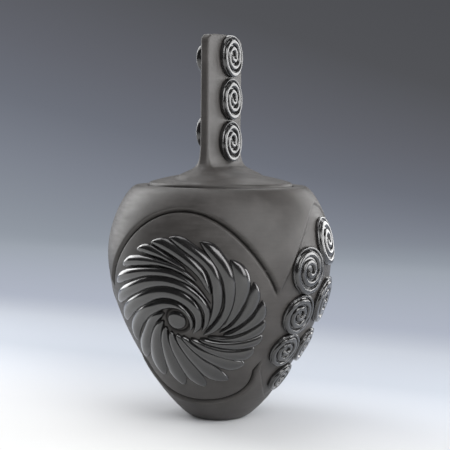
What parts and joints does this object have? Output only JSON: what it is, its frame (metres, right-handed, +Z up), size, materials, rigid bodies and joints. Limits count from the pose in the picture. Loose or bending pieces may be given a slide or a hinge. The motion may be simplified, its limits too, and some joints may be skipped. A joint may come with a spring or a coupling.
{
  "type": "lidded pottery jar",
  "caption": "Lidded blackware pottery jar with carved whirl medallions and raised spiral discs, and a domed drop-in lid with a tall slab handle.",
  "frame": {"origin": "on the jar's axis, at the level of the flat foot it stands on", "axes": "+Z up along the jar's axis; -Y is the front, out of the front whirl medallion; +X is the right, out of the right spiral panel"},
  "size_m": [0.2068, 0.2046, 0.34],
  "materials": {
    "polished_clay": "stone-polished black, soft sheen",
    "matte_clay": "smoked black, matte"
  },
  "bodies": {
    "jar": {"jar_base": "polished_clay", "jar_lower_wall": "polished_clay", "jar_shoulder": "polished_clay", "lid_seat": "matte_clay", "front_swirl_boss": "polished_clay", "front_swirl_ribs": "polished_clay", "back_swirl_boss": "polished_clay", "back_swirl_ribs": "polished_clay", "right_spiral_1": "polished_clay", "right_spiral_2": "polished_clay", "right_spiral_3": "polished_clay", "right_spiral_4": "polished_clay", "right_spiral_5": "polished_clay", "right_spiral_6": "polished_clay", "right_spiral_7": "polished_clay", "left_spiral_1": "polished_clay", "left_spiral_2": "polished_clay", "left_spiral_3": "polished_clay", "left_spiral_4": "polished_clay", "left_spiral_5": "polished_clay", "left_spiral_6": "polished_clay", "left_spiral_7": "polished_clay"},
    "lid": {"lid_cap": "polished_clay", "lid_locating_ring": "matte_clay", "lid_handle": "polished_clay", "handle_right_spiral_1": "polished_clay", "handle_right_spiral_2": "polished_clay", "handle_right_spiral_3": "polished_clay", "handle_left_spiral_1": "polished_clay", "handle_left_spiral_2": "polished_clay", "handle_left_spiral_3": "polished_clay"}
  },
  "joints": [
    {"name": "lid_lift", "type": "slide", "parent": "jar", "child": "lid", "axis": [0, 0, 1], "range_m": [0, 0.12]}
  ]
}
